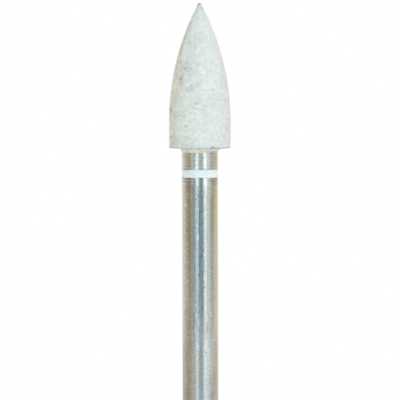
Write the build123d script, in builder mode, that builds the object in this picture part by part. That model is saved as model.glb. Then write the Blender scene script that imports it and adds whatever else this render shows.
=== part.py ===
from build123d import *

import os
from math import asin, degrees, sqrt

# A dental polisher for a straight handpiece: a flame of bonded white abrasive grain,
# cemented over the fluted pin of a turned steel shank that carries a white enamel ring.
# Sizes are millimetres. The origin is the centre of the shank's butt end, and +Z runs
# along the axis to the tip of the head.

# Shank, of the standard straight-handpiece diameter and length
shank_diameter = 2.35
overall_length = 44.5
butt_chamfer = 0.3

# Flame head: a short parallel stretch above the rim, then one long arc up to the tip
head_diameter = 4.04
head_length = 9.47
parallel_length = 1.77
tip_radius = 0.14
rim_radius = 0.05

# Retention pin, turned down from the shank and hidden in the head's blind bore
pin_diameter = 1.6
pin_length = 5.2
pin_chamfer = 0.2
cement_groove_count = 3
cement_groove_pitch = 1.2
cement_groove_width = 0.3
cement_groove_depth = 0.12
flute_count = 12
flute_depth = 0.09
flute_runout = 0.6

# Cement: the film around the pin and under the head, and the bead that was pressed out
bond_gap = 0.05
bore_end_gap = 0.3
bore_end_chamfer = 0.2
bead_width = 0.24
bead_height = 0.28
bead_bulge = 0.015
bead_lip = 0.02

# Enamel ring, in a groove between the neck and the grip
neck_length = 1.39
ring_width = 0.52
ring_dip = 0.015
groove_depth = 0.1
groove_hollow = 0.02

shank_radius = shank_diameter / 2
head_radius = head_diameter / 2
pin_radius = pin_diameter / 2
bore_radius = pin_radius + bond_gap

# Heights along the axis, from the butt end up
base_z = overall_length - head_length
seat_z = base_z - bond_gap
pin_end_z = seat_z + pin_length
bore_end_z = pin_end_z + bore_end_gap
flame_z = base_z + parallel_length
bead_bottom_z = base_z - bead_height
ring_top_z = base_z - neck_length
ring_bottom_z = ring_top_z - ring_width
ring_middle_z = (ring_top_z + ring_bottom_z) / 2

# The enamel groove's floor, hollowed a little by the tool, as three points of an arc
groove_radius = shank_radius - groove_depth
groove_floor = [
    (groove_radius, ring_bottom_z),
    (groove_radius - groove_hollow, ring_middle_z),
    (groove_radius, ring_top_z),
]

# The long arc leaves the parallel stretch without a corner and runs into the ball of the
# tip without one either, which fixes its radius and the angle that it turns through.
ball_rise = overall_length - tip_radius - flame_z
ball_inset = head_radius - tip_radius
flame_radius = (ball_rise**2 / ball_inset + head_radius + tip_radius) / 2
flame_angle = degrees(asin(ball_rise / (flame_radius - tip_radius)))

# Shank: ground bar with a pin turned down at one end
with BuildPart() as shank:
    with BuildSketch():
        Circle(shank_radius)
    extrude(amount=seat_z)
    chamfer(shank.edges().sort_by(Axis.Z)[0], butt_chamfer)
    with BuildSketch(Plane.XY.offset(seat_z)):
        Circle(pin_radius)
    extrude(amount=pin_length)
    chamfer(shank.edges().sort_by(Axis.Z)[-1], pin_chamfer)

    # Groove for the enamel, cut from outside the bar down to its floor
    with BuildSketch(Plane.XZ):
        with BuildLine():
            floor = ThreePointArc(*groove_floor)
            Polyline(
                floor @ 1,
                (shank_radius + groove_depth, ring_top_z),
                (shank_radius + groove_depth, ring_bottom_z),
                floor @ 0,
            )
        make_face()
    revolve(axis=Axis.Z, mode=Mode.SUBTRACT)

    # Square grooves across the pin, which lock the cement lengthways
    with BuildSketch(Plane.XZ):
        for number in range(1, cement_groove_count + 1):
            with Locations((pin_radius, pin_end_z - number * cement_groove_pitch)):
                Rectangle(2 * cement_groove_depth, cement_groove_width)
    revolve(axis=Axis.Z, mode=Mode.SUBTRACT)

    # Right-angled flutes along the pin, which lock the cement against turning
    with BuildSketch(Plane.XY.offset(seat_z + flute_runout)):
        with PolarLocations(pin_radius, flute_count):
            Rectangle(flute_depth * sqrt(2), flute_depth * sqrt(2), rotation=45)
    extrude(amount=pin_length - flute_runout, mode=Mode.SUBTRACT)

shank.part.label = "shank"

# Abrasive head: the flame's profile turned about the axis, with a blind bore from below
with BuildPart() as abrasive_head:
    with BuildSketch(Plane.XZ):
        with BuildLine():
            side = Line((head_radius, base_z), (head_radius, flame_z))
            flame = JernArc(side @ 1, side % 1, flame_radius, flame_angle)
            JernArc(flame @ 1, flame % 1, tip_radius, 90 - flame_angle)
            Polyline((0, overall_length), (0, base_z), side @ 0)
        make_face()
    revolve(axis=Axis.Z)
    fillet(abrasive_head.edges().sort_by(Axis.Z)[0], rim_radius)
    with Locations(Plane(origin=(0, 0, base_z), z_dir=(0, 0, -1))):
        Hole(bore_radius, depth=bore_end_z - base_z)
    bore_end = abrasive_head.faces().filter_by(Axis.Z).sort_by(Axis.Z)[-1]
    chamfer(bore_end.edges(), bore_end_chamfer)

abrasive_head.part.label = "abrasive_head"

# Adhesive: all of the bore that the pin leaves free, the seat and the bead around the shank
with BuildPart() as adhesive:
    with BuildSketch(Plane.XZ):
        with BuildLine():
            bead = SagittaArc(
                (shank_radius + bead_width, base_z),
                (shank_radius + bead_lip, bead_bottom_z),
                bead_bulge,
            )
            Polyline(
                bead @ 1,
                (0, bead_bottom_z),
                (0, bore_end_z),
                (bore_radius, bore_end_z),
                (bore_radius, base_z),
                bead @ 0,
            )
        make_face()
    revolve(axis=Axis.Z)
    plug_end = adhesive.faces().filter_by(Axis.Z).sort_by(Axis.Z)[-1]
    chamfer(plug_end.edges(), bore_end_chamfer)
    add(shank.part, mode=Mode.SUBTRACT)

adhesive.part.label = "adhesive"

# Colour ring: enamel that fills its groove to both edges and has shrunk a hair between them
with BuildPart() as color_ring:
    with BuildSketch(Plane.XZ):
        with BuildLine():
            inside = ThreePointArc(*groove_floor)
            outside = ThreePointArc(
                (shank_radius, ring_bottom_z),
                (shank_radius - ring_dip, ring_middle_z),
                (shank_radius, ring_top_z),
            )
            Line(inside @ 0, outside @ 0)
            Line(inside @ 1, outside @ 1)
        make_face()
    revolve(axis=Axis.Z)

color_ring.part.label = "color_ring"

os.makedirs("parts", exist_ok=True)
export_step(shank.part, "parts/shank.step")
export_step(abrasive_head.part, "parts/abrasive_head.step")
export_step(adhesive.part, "parts/adhesive.step")
export_step(color_ring.part, "parts/color_ring.step")
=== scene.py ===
"""Looks of a dental polisher: a flame of bonded abrasive on a straight handpiece shank.

Each mesh is turned about the instrument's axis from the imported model's own sizes, and then
dressed, chipped, grained and marked. All sizes here are millimetres, also in the patterns of the
materials, and turn to metres where Blender gets them.
"""

import logging
import math
from dataclasses import dataclass, field
from enum import Enum
from functools import cached_property
from typing import Any

import bpy
import numpy as np
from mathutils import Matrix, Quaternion, Vector, noise


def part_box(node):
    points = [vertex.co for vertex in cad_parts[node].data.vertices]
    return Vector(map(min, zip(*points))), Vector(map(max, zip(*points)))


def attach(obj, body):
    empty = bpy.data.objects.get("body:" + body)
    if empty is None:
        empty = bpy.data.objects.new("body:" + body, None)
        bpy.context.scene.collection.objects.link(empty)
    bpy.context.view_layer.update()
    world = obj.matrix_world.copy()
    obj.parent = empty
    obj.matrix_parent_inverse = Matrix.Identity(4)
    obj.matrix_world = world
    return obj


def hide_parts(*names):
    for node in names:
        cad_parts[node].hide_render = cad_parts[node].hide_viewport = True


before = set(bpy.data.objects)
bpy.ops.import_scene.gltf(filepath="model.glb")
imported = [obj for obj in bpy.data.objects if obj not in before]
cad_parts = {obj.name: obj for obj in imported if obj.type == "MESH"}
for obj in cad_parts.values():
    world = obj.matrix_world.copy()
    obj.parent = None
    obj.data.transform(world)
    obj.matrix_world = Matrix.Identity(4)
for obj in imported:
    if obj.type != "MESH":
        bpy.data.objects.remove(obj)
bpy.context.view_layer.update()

log = logging.getLogger("dental_polisher")

MM = 0.001
BODY = "root"
HOLLOW = "hollow"

# Thickness of the cement between the head and the shank's shoulder, in millimetres
BOND_GAP = 0.05

# Sockets of a Mix node that mixes colours, which share their names with its other sockets
MIX_FACTOR, MIX_A, MIX_B, MIX_RESULT = 0, 6, 7, 2

# Colours that many marks share: metal dust smeared on stone, and a pit's floor in steel
SMEAR = "949a98"
PIT_FLOOR = "3a4043"

Tree = bpy.types.NodeTree
Node = bpy.types.Node
Socket = bpy.types.NodeSocket
Point = tuple[float, float]
Triple = tuple[float, float, float]
# Where something is least, and where it is most
Span = tuple[float, float]


def linear(hex_colour: str) -> tuple[float, float, float, float]:
    """Turns an sRGB hex colour into the linear colour that the renderer works in.

    Args:
        hex_colour: Six hex digits, such as "dfe6e2".

    Returns:
        Linear red, green and blue, and an alpha of 1.
    """
    shares = [int(hex_colour[i : i + 2], 16) / 255 for i in (0, 2, 4)]
    red, green, blue = (s / 12.92 if s <= 0.04045 else ((s + 0.055) / 1.055) ** 2.4 for s in shares)
    return red, green, blue, 1.0


def add_node(tree: Tree, kind: str, inputs: dict[str | int, Any] | None = None, **settings: Any) -> Node:
    """Adds a node with its settings, values and links.

    Args:
        tree: The node tree that gets it.
        kind: The node's type, such as "ShaderNodeTexNoise".
        inputs: A value or an output socket for each input, by name or number.
        settings: The node's own properties.

    Returns:
        The new node.
    """
    node = tree.nodes.new(kind)
    for name, value in settings.items():
        setattr(node, name, value)
    for name, value in (inputs or {}).items():
        if isinstance(value, Socket):
            tree.links.new(value, node.inputs[name])
        else:
            node.inputs[name].default_value = value
    return node


@dataclass(frozen=True)
class Fade:
    """An amount that runs from a bottom to a top between two values of a measure.

    Attributes:
        measure: What it follows, such as a place along an axis or a noise.
        low: Value that gives the bottom, which may be the higher of the two.
        high: Value that gives the top.
        top: Amount at high and past it.
        bottom: Amount at low and past it.
    """

    measure: Socket
    low: float
    high: float
    top: float = 1.0
    bottom: float = 0.0


def amount(tree: Tree, *factors: Fade | Socket | float) -> Socket:
    """Works out how much there is of something that several things limit.

    Args:
        tree: The node tree.
        factors: What is multiplied; the first isn't a plain number.

    Returns:
        The socket with the amount.
    """
    product = None
    for factor in factors:
        if isinstance(factor, Fade):
            inputs = {"Value": factor.measure, "From Min": factor.low, "From Max": factor.high}
            inputs |= {"To Min": factor.bottom, "To Max": factor.top}
            factor = add_node(tree, "ShaderNodeMapRange", inputs).outputs[0]
        if product is None:
            product = factor
        else:
            both = {0: product, 1: factor}
            product = add_node(tree, "ShaderNodeMath", both, operation="MULTIPLY").outputs[0]
    return product


def coat(tree: Tree, base: str | Socket, colour: str | Socket, *cover: Fade | Socket | float) -> Socket:
    """Lays a colour over another one, each given as hex digits or as an output socket.

    Args:
        tree: The node tree.
        base: The colour below.
        colour: The colour that is laid over it.
        cover: What limits it: their product is 0 where the base shows and 1 where it is hidden.

    Returns:
        The socket with the result.
    """
    under, over = (linear(c) if isinstance(c, str) else c for c in (base, colour))
    inputs = {MIX_FACTOR: amount(tree, *cover), MIX_A: under, MIX_B: over}
    return add_node(tree, "ShaderNodeMix", inputs, data_type="RGBA").outputs[MIX_RESULT]


def heights(base: float, span: Span) -> Span:
    """Turns a span that is counted from a base into heights on the axis."""
    return base + span[0], base + span[1]


def new_material(name: str) -> tuple[bpy.types.Material, Tree]:
    """Makes an empty node material.

    Args:
        name: The material's name.

    Returns:
        The material and its node tree.
    """
    material = bpy.data.materials.new(name)
    material.use_nodes = True
    material.node_tree.nodes.clear()
    return material, material.node_tree


def noise_field(points: np.ndarray, size: float, seed: float) -> np.ndarray:
    """Perlin noise at every point of a turned surface.

    Args:
        points: Coordinates in millimetres, the last axis being x, y and z.
        size: Width of a lump in millimetres.
        seed: Offset that makes one pattern differ from another.

    Returns:
        Values from about -1 to 1, one for each point.
    """
    places = points.reshape(-1, 3) / size + seed
    values = [noise.noise(Vector(place)) for place in places.tolist()]
    return np.array(values).reshape(points.shape[:-1])


def grain_field(points: np.ndarray, size: float, seed: float) -> np.ndarray:
    """Distance to the nearest grain's centre, as a share of the grain size.

    Args:
        points: Coordinates in millimetres, the last axis being x, y and z.
        size: Width of a grain in millimetres.
        seed: Offset that makes one pattern differ from another.

    Returns:
        Values from 0 at a grain's centre to about 1 between grains.
    """
    places = points.reshape(-1, 3) / size + seed
    values = [noise.voronoi(Vector(place))[0][0] for place in places.tolist()]
    return np.array(values).reshape(points.shape[:-1])


def rise(values: np.ndarray, low: float, high: float) -> np.ndarray:
    """Smooth step from 0 at low to 1 at high, in either order."""
    share = np.clip((values - low) / (high - low), 0, 1)
    return share * share * (3 - 2 * share)


@dataclass(frozen=True)
class Patches:
    """Soft-edged patches scattered over a turned surface, where a noise is high.

    Attributes:
        size: Width of a patch.
        seed: Offset that makes one pattern differ from another.
        low: Noise at which a patch's edge starts.
        high: Noise from which the patch counts in full.
        squeeze: Factors on x, y and z, of which one below 1 draws the patches out.
    """

    size: float
    seed: float
    low: float
    high: float
    squeeze: Triple = (1, 1, 1)

    def over(self, points: np.ndarray) -> np.ndarray:
        """Gives each point's share of a patch, from 0 to 1."""
        return rise(noise_field(points * self.squeeze, self.size, self.seed), self.low, self.high)


def arc(centre: Point, radius: float, start: float, end: float, steps: int) -> list[Point]:
    """Points of an arc in the plane of radius and height.

    Args:
        centre: The arc's centre.
        radius: Its radius.
        start: First angle in degrees, 0 being outward and 90 up.
        end: Last angle in degrees.
        steps: How many points follow the first.

    Returns:
        The points, ends included.
    """
    angles = np.radians(np.linspace(start, end, steps + 1))
    return [(centre[0] + radius * math.cos(a), centre[1] + radius * math.sin(a)) for a in angles]


def run(start: Point, end: Point, spacing: float) -> list[Point]:
    """Evenly spaced points of a straight stretch, its last point left out.

    Args:
        start: First point.
        end: Where the stretch ends.
        spacing: Widest step between two points.

    Returns:
        The points from start on.
    """
    steps = max(1, math.ceil(math.dist(start, end) / spacing))
    shares = [i / steps for i in range(steps)]
    return [(start[0] + (end[0] - start[0]) * s, start[1] + (end[1] - start[1]) * s) for s in shares]


class Ends(Enum):
    """How an outline that is turned about the axis closes."""

    POLES = "it starts and ends on the axis"
    LOOP = "its last point meets its first"


class Turned:
    """An outline turned about +Z, as rings of points that wear is cut into before meshing."""

    def __init__(self, outline: list[Point], segments: int, ends: Ends) -> None:
        """Spreads the outline round the axis.

        Args:
            outline: Points of (radius, height) that run down the outside and back up the inside.
            segments: Points in each ring.
            ends: How the outline closes.
        """
        points = np.array(outline, float)
        self.ends = ends
        self.poles = (points[0, 1], points[-1, 1])
        if ends is Ends.LOOP:
            wrapped = np.vstack([points[-1:], points, points[:1]])
            travel = (wrapped[2:] - wrapped[:-2]) / 2
        else:
            travel = np.gradient(points, axis=0)
            points, travel = points[1:-1], travel[1:-1]
        travel /= np.linalg.norm(travel, axis=1)[:, None]
        shape = (len(points), segments)
        self.angle = np.broadcast_to(np.linspace(0, 2 * math.pi, segments, endpoint=False), shape)
        self.radius = np.broadcast_to(points[:, :1], shape).copy()
        self.height = np.broadcast_to(points[:, 1:], shape).copy()
        self.out_radius = np.broadcast_to(-travel[:, 1:], shape)
        self.out_height = np.broadcast_to(travel[:, :1], shape)
        self.hollow = np.zeros(shape)

    def points(self) -> np.ndarray:
        """Gives every point's x, y and z in millimetres."""
        x, y = self.radius * np.cos(self.angle), self.radius * np.sin(self.angle)
        return np.stack([x, y, self.height], axis=-1)

    def cut(self, depth: np.ndarray) -> None:
        """Sinks each point straight into the surface by its own depth."""
        self.radius -= depth * self.out_radius
        self.height -= depth * self.out_height

    def mesh(self, name: str, sharp_deg: float) -> bpy.types.Object:
        """Makes the mesh object, in metres, at the origin.

        Args:
            name: The piece's name.
            sharp_deg: Edges that turn by more than this stay sharp.

        Returns:
            The object, linked to the scene.
        """
        rings, segments = self.radius.shape
        vertices = self.points().reshape(-1, 3) * MM
        hollow = self.hollow.ravel()
        index = np.arange(rings * segments).reshape(rings, segments)
        upper = index if self.ends is Ends.LOOP else index[:-1]
        lower = np.roll(index, -1, axis=0) if self.ends is Ends.LOOP else index[1:]
        quads = np.stack([upper, lower, np.roll(lower, -1, axis=1), np.roll(upper, -1, axis=1)], axis=-1)
        faces = quads.reshape(-1, 4).tolist()
        if self.ends is Ends.POLES:
            top, bottom = len(vertices), len(vertices) + 1
            axis_points = [[0, 0, height * MM] for height in self.poles]
            vertices = np.vstack([vertices, axis_points])
            hollow = np.append(hollow, [self.hollow[0].mean(), self.hollow[-1].mean()])
            faces += [(top, a, b) for a, b in zip(index[0].tolist(), np.roll(index[0], -1).tolist())]
            faces += [(bottom, b, a) for a, b in zip(index[-1].tolist(), np.roll(index[-1], -1).tolist())]
        data = bpy.data.meshes.new(name)
        data.from_pydata(vertices.tolist(), [], faces)
        data.attributes.new(HOLLOW, "FLOAT", "POINT").data.foreach_set("value", hollow.astype(np.float32))
        data.shade_smooth()
        data.set_sharp_from_angle(angle=math.radians(sharp_deg))
        piece = bpy.data.objects.new(name, data)
        bpy.context.scene.collection.objects.link(piece)
        return piece


def dress(piece: bpy.types.Object, material: bpy.types.Material, node: str) -> bpy.types.Object:
    """Gives a finished mesh its material and its place in the frame.

    Args:
        piece: The mesh object.
        material: Its finish.
        node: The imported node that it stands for.

    Returns:
        The same object.
    """
    piece.data.materials.append(material)
    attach(piece, BODY)
    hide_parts(node)
    log.info("%s: %d faces for node %s", piece.name, len(piece.data.polygons), node)
    return piece


class Surface:
    """A piece's material in the making, with the places that its looks follow."""

    def __init__(self, name: str, colour: str) -> None:
        """Starts a material.

        Args:
            name: The material's name.
            colour: The colour below all that is laid over it, as hex digits.
        """
        self.material, self.tree = new_material(name)
        self.colour: str | Socket = colour
        self.place = self.millimetres()
        self.x, self.y, self.z = add_node(self.tree, "ShaderNodeSeparateXYZ", {0: self.place}).outputs

    @cached_property
    def hollow(self) -> Socket:
        """How deep the mesh is cut there, from 0 to 1."""
        return add_node(self.tree, "ShaderNodeAttribute", attribute_name=HOLLOW).outputs["Fac"]

    @cached_property
    def front(self) -> Socket:
        """1 on the front, where marks are placed, and 0 behind."""
        return amount(self.tree, Fade(self.y, 0.2, -0.2))

    def millimetres(self, stretch: Triple = (1, 1, 1)) -> Socket:
        """Gives the place on the piece in millimetres, for a pattern to be drawn at its real size.

        Args:
            stretch: How many times longer the pattern is along x, y and z.

        Returns:
            The socket with the coordinates.
        """
        place = add_node(self.tree, "ShaderNodeTexCoord").outputs["Object"]
        inputs = {0: place, 1: tuple(1 / (MM * share) for share in stretch)}
        return add_node(self.tree, "ShaderNodeVectorMath", inputs, operation="MULTIPLY").outputs[0]

    def shaken(self, shake: Socket, reach: Triple) -> Socket:
        """Moves every place a little, so that what is drawn there has ragged edges.

        Args:
            shake: Three values of a noise.
            reach: Width of the shake along x, y and z.

        Returns:
            The socket with the coordinates in millimetres.
        """
        inputs = {0: shake, 1: (0.5, 0.5, 0.5)}
        centred = add_node(self.tree, "ShaderNodeVectorMath", inputs, operation="SUBTRACT").outputs[0]
        inputs = {0: centred, 1: reach, 2: self.place}
        return add_node(self.tree, "ShaderNodeVectorMath", inputs, operation="MULTIPLY_ADD").outputs[0]

    def coat(self, colour: str | Socket, *cover: Fade | Socket | float) -> None:
        """Lays a colour over the one so far.

        Args:
            colour: The colour.
            cover: What limits it: their product is 0 where it is bare and 1 where it is hidden.
        """
        self.colour = coat(self.tree, self.colour, colour, *cover)

    def finished(self, **inputs: Any) -> bpy.types.Material:
        """Ends the material with its shader.

        Args:
            inputs: The shader's values and links, with underscores for the spaces in their names.

        Returns:
            The material.
        """
        named = {name.replace("_", " "): value for name, value in inputs.items()}
        shader = add_node(self.tree, "ShaderNodeBsdfPrincipled", {"Base Color": self.colour, **named})
        add_node(self.tree, "ShaderNodeOutputMaterial", {"Surface": shader.outputs[0]})
        return self.material


@dataclass(frozen=True)
class Clouds:
    """A soft, uneven pattern, drawn at its real size.

    Attributes:
        size: Width of a cloud.
        detail: How many finer layers it has.
        rough: How strong they are.
        stretch: How many times longer it is along x, y and z.
    """

    size: float
    detail: float = 2.0
    rough: float = 0.5
    stretch: Triple = (1, 1, 1)

    def drawn(self, surface: Surface) -> dict[str, Socket]:
        """Draws the pattern on a surface.

        Args:
            surface: The material in the making.

        Returns:
            The sockets "Fac" with one value and "Color" with three.
        """
        inputs = {"Vector": surface.millimetres(self.stretch), "Scale": 1 / self.size}
        inputs |= {"Detail": self.detail, "Roughness": self.rough}
        return dict(add_node(surface.tree, "ShaderNodeTexNoise", inputs).outputs.items())


@dataclass(frozen=True)
class Mark:
    """A soft-edged stain or speck, or a painted highlight, reflection or shadow, placed as it is seen from
    the front.

    Attributes:
        colour: What the surface turns to.
        across: Distance to the right of the axis.
        height: Height on the axis.
        width: Half its width.
        length: Half its length along the axis.
        strength: How far the surface turns to its colour.
        core: Share of its reach that stays at full strength.
    """

    colour: str
    across: float
    height: float
    width: float
    length: float
    strength: float
    core: float = 0.2

    def lay(self, surface: Surface, place: Socket, cover: Socket) -> None:
        """Lays the mark on a surface.

        Args:
            surface: The material in the making.
            place: Coordinates in millimetres, which may be shaken to make edges ragged.
            cover: Share of it that shows, up to 1 on the front and 0 behind.
        """
        tree = surface.tree
        inputs = {0: place, 1: (self.across, 0, self.height)}
        away = add_node(tree, "ShaderNodeVectorMath", inputs, operation="SUBTRACT").outputs[0]
        inputs = {0: away, 1: (1 / self.width, 0, 1 / self.length)}
        away = add_node(tree, "ShaderNodeVectorMath", inputs, operation="MULTIPLY").outputs[0]
        away = add_node(tree, "ShaderNodeVectorMath", {0: away}, operation="LENGTH").outputs["Value"]
        inputs = {"Value": away, "From Min": 1.0, "From Max": self.core, "To Max": self.strength}
        near = add_node(tree, "ShaderNodeMapRange", inputs, interpolation_type="SMOOTHSTEP").outputs[0]
        surface.coat(self.colour, near, cover)


@dataclass(frozen=True)
class DressedAlumina:
    """White fused alumina grain in a porous bond, dressed to shape with a diamond on a lathe.

    Light scatters at every grain, so it is matt and chalky with no highlight, faintly green
    grey, with pores darkened by painted shade, single dark grains and the dresser's faint lines round it.
    """

    body: str = "e9f1f0"
    shade: str = "dae3e2"
    bright: str = "f3f8f7"
    soft_dark: str = "c9d0cd"
    pore_shade: str = "bfc3bd"
    dark_grain: str = "b9bdbc"
    # Painted light: a faint lilac on the right side
    lit_right_lilac: str = "ebe9ea"
    tip_dirt: str = "7d7c80"
    rim_brown: str = "a3977f"
    mottle: Clouds = Clouds(0.9, detail=4.0, rough=0.65)
    blots: Clouds = Clouds(0.3, detail=3.0, rough=0.6)
    # Real grit is near 0.05 mm, under a pixel; it is drawn at two pixels so that it shows
    grain_size: float = 0.13
    # The dresser's lines grow plainer between these heights above the rim, and fade above them
    lines: Clouds = Clouds(0.1, stretch=(5, 5, 1))
    lines_grow: Span = (1.6, 3.0)
    lines_fade: Span = (5.2, 4.0)
    # Flecks break up the smears, whose edges they shake this far across, deep and along
    flecks: Clouds = Clouds(0.2, detail=3.0, rough=0.7)
    smear_shake: Triple = (0.6, 0.6, 0.6)
    # A brown band along the rim's lower edge ends between these heights above the rim
    rim_brown_height: Span = (0.11, 0.03)
    # Dust starts between these heights from the tip, where flecks lift each place by up to 0.5
    tip_dirt_height: Span = (0.04, 0.18)
    fleck_lift: float = 0.5
    relief: float = 0.006
    roughness: float = 0.88
    roughness_spread: float = 0.08
    ior: float = 1.76
    marks: tuple[Mark, ...] = (
        Mark("9494a2", -0.75, 40.35, 0.42, 0.9, 0.42),
        Mark("9c9a98", -1.15, 40.5, 0.26, 0.8, 0.4),
        Mark("a09c98", -1.22, 39.5, 0.3, 0.7, 0.45),
        Mark("a3a09c", -1.1, 39.9, 0.25, 0.5, 0.3),
        Mark("a3a09a", -1.15, 38.9, 0.4, 1.1, 0.2),
        Mark("a09c96", -1.55, 38.5, 0.3, 0.8, 0.22),
        Mark("9d9892", -1.6, 35.6, 0.32, 0.6, 0.28),
        Mark("a6a6b0", -1.2, 35.5, 0.5, 0.5, 0.2),
        Mark("9a9ca2", -0.55, 35.3, 0.5, 0.28, 0.4),
        Mark(SMEAR, -0.6, 38.95, 0.42, 0.4, 0.4, 0.4),
        Mark(SMEAR, -0.02, 40.5, 0.3, 0.25, 0.24),
        Mark(SMEAR, -0.2, 35.28, 0.3, 0.2, 0.24),
        Mark(SMEAR, -0.95, 39.9, 0.2, 0.25, 0.2),
        Mark(SMEAR, -0.74, 39.4, 0.3, 0.25, 0.22),
        Mark(SMEAR, -0.1, 39.25, 0.3, 0.22, 0.24),
        Mark(SMEAR, -0.32, 40.05, 0.35, 0.5, 0.26),
        Mark(SMEAR, -1.26, 37.9, 0.3, 0.3, 0.26),
        Mark(SMEAR, -0.5, 37.75, 0.35, 0.3, 0.26),
        Mark("8f9084", -1.9, 37.6, 0.16, 0.5, 0.3),
        Mark(SMEAR, -1.2, 41.55, 0.2, 0.3, 0.28),
        Mark(SMEAR, -0.5, 35.65, 0.4, 0.3, 0.22),
        Mark(SMEAR, -1.33, 36.35, 0.35, 0.35, 0.22),
        Mark(SMEAR, -0.6, 36.8, 0.35, 0.3, 0.22),
        Mark("aebcb4", 0.05, 43.7, 0.55, 0.6, 0.2, 0.4),
        Mark("a8b2ac", 0.4, 43.2, 0.35, 0.45, 0.2),
        Mark("abb6b5", -0.35, 42.2, 0.9, 2.2, 0.22, 0.4),
        Mark("a6aaa4", 1.45, 39.9, 0.25, 1.3, 0.22),
        Mark("b8c2cc", -0.2, 35.05, 2.4, 0.35, 0.35, 0.5),
    )
    specks: tuple[Mark, ...] = (
        Mark("6d6c70", -0.12, 44.2, 0.05, 0.05, 0.7),
        Mark("6d6c70", 0.21, 44.13, 0.05, 0.05, 0.7),
        Mark("8f8c90", -0.2, 43.9, 0.06, 0.06, 0.4),
        Mark("8a8a8c", 0.08, 44.18, 0.18, 0.15, 0.3),
        Mark(SMEAR, -0.32, 41.75, 0.15, 0.13, 0.3),
        Mark(SMEAR, -0.66, 41.9, 0.12, 0.2, 0.3),
        Mark("8a8c8e", -1.24, 39.6, 0.1, 0.11, 0.5),
        Mark(SMEAR, 0.1, 39.45, 0.12, 0.1, 0.25),
        Mark(SMEAR, -0.06, 39.13, 0.32, 0.07, 0.22),
        Mark(SMEAR, -0.5, 38.87, 0.26, 0.07, 0.22),
        Mark(SMEAR, -1.24, 38.3, 0.34, 0.07, 0.22),
        Mark(SMEAR, -1.2, 37.8, 0.34, 0.08, 0.22),
        Mark(SMEAR, -0.29, 37.98, 0.15, 0.12, 0.28),
        Mark(SMEAR, -0.24, 37.68, 0.26, 0.08, 0.3),
        Mark(SMEAR, 0.3, 37.87, 0.15, 0.12, 0.25),
        Mark(SMEAR, -0.64, 37.4, 0.18, 0.07, 0.3),
        Mark("8a918d", -0.92, 36.5, 0.18, 0.07, 0.4),
        Mark(SMEAR, 1.78, 36.35, 0.12, 0.35, 0.25),
        Mark("857b70", 0.82, 35.14, 0.24, 0.09, 0.65),
    )
    # A strip of painted warm shade lies along the left edge as seen from the front. Between these
    # heights on the axis it narrows and turns greyer upwards, and it and its edge grow stronger downwards
    edge_shade_low: str = "d2c8b2"
    edge_shade_high: str = "a2a08a"
    edge_shade_border: str = "a09b94"
    edge_shade_width: float = 0.34
    edge_shade_tip_width: float = 0.24
    edge_shade_narrows: Span = (39.0, 42.0)
    edge_shade_greys: Span = (39.0, 41.5)
    edge_shade_strong: Span = (43.6, 42.4)
    edge_shade_border_strong: Span = (41.0, 39.5)
    edge_shade_shake: float = 1.6
    edge_shade_ragged: Clouds = Clouds(0.16, detail=4.0, rough=0.7, stretch=(1, 1, 3))
    edge_shade_streaks: Clouds = Clouds(0.17, detail=4.0, rough=0.7, stretch=(1, 1, 1.6))
    # Darker and paler specks within the painted shade along the left edge
    edge_shade_marks: tuple[Mark, ...] = (
        Mark("8a8374", -1.88, 37.6, 0.17, 0.22, 0.45, 0.3),
        Mark("8a8374", -1.86, 35.76, 0.16, 0.1, 0.35, 0.3),
        Mark("8a8374", -1.74, 35.36, 0.11, 0.16, 0.4, 0.3),
        Mark("f6f0e6", -1.95, 35.36, 0.08, 0.28, 0.6, 0.4),
        Mark("f6f0e6", -1.95, 35.98, 0.12, 0.1, 0.5, 0.4),
    )

    def material(self, tip_height: float, base_height: float) -> bpy.types.Material:
        """Builds the material.

        Args:
            tip_height: Height of the tip, where grey metal dust has stuck.
            base_height: Height of the rim, whose lower edge is browned.

        Returns:
            The node material.
        """
        stone = Surface("dressed_white_alumina", self.shade)
        inputs = {"Vector": stone.place, "Scale": 1 / self.grain_size}
        grains = add_node(stone.tree, "ShaderNodeTexVoronoi", inputs).outputs
        tones = add_node(stone.tree, "ShaderNodeSeparateColor", {"Color": grains["Color"]}).outputs
        self.show_grain(stone, tones[0], tones[1])
        self.show_lines(stone, base_height)
        # Painted shade: pores, pits and rim chips darken by how deep the mesh is cut there
        stone.coat(self.pore_shade, stone.hollow, 0.8)

        flecks = self.flecks.drawn(stone)
        broken = amount(stone.tree, stone.front, Fade(flecks["Fac"], 0.38, 0.62, 1.0, 0.35))
        ragged = stone.shaken(flecks["Color"], self.smear_shake)
        for mark in self.marks:
            mark.lay(stone, ragged, broken)
        for speck in self.specks:
            speck.lay(stone, stone.place, stone.front)
        # Painted shade along the head's left edge, with its specks
        self.show_edge_shade(stone)
        for mark in self.edge_shade_marks:
            mark.lay(stone, stone.place, broken)
        self.show_tip_dust_and_rim_brown(stone, flecks["Fac"], tip_height, base_height)

        bumps = {"Height": grains["Distance"], "Strength": 0.5, "Distance": self.relief * MM}
        bumps = add_node(stone.tree, "ShaderNodeBump", bumps, invert=True).outputs[0]
        least, most = self.roughness - self.roughness_spread, self.roughness + self.roughness_spread
        rough = amount(stone.tree, Fade(tones[2], 0.0, 1.0, most, least))
        return stone.finished(Roughness=rough, Normal=bumps, IOR=self.ior)

    def show_grain(self, stone: Surface, brightness: Socket, darkness: Socket) -> None:
        """Colours the clean stone, cloudy white, with painted lilac light on its right.

        Args:
            stone: The material in the making.
            brightness: Chance value that is the same all over a grain.
            darkness: Another one.
        """
        stone.coat(self.body, Fade(self.mottle.drawn(stone)["Fac"], 0.35, 0.68))
        # Painted light: the right side turns faintly lilac where light from behind falls on it
        stone.coat(self.lit_right_lilac, Fade(stone.x, 0.4, 1.8, 0.7))
        stone.coat(self.soft_dark, Fade(self.blots.drawn(stone)["Fac"], 0.5, 0.74, 0.55))

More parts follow.
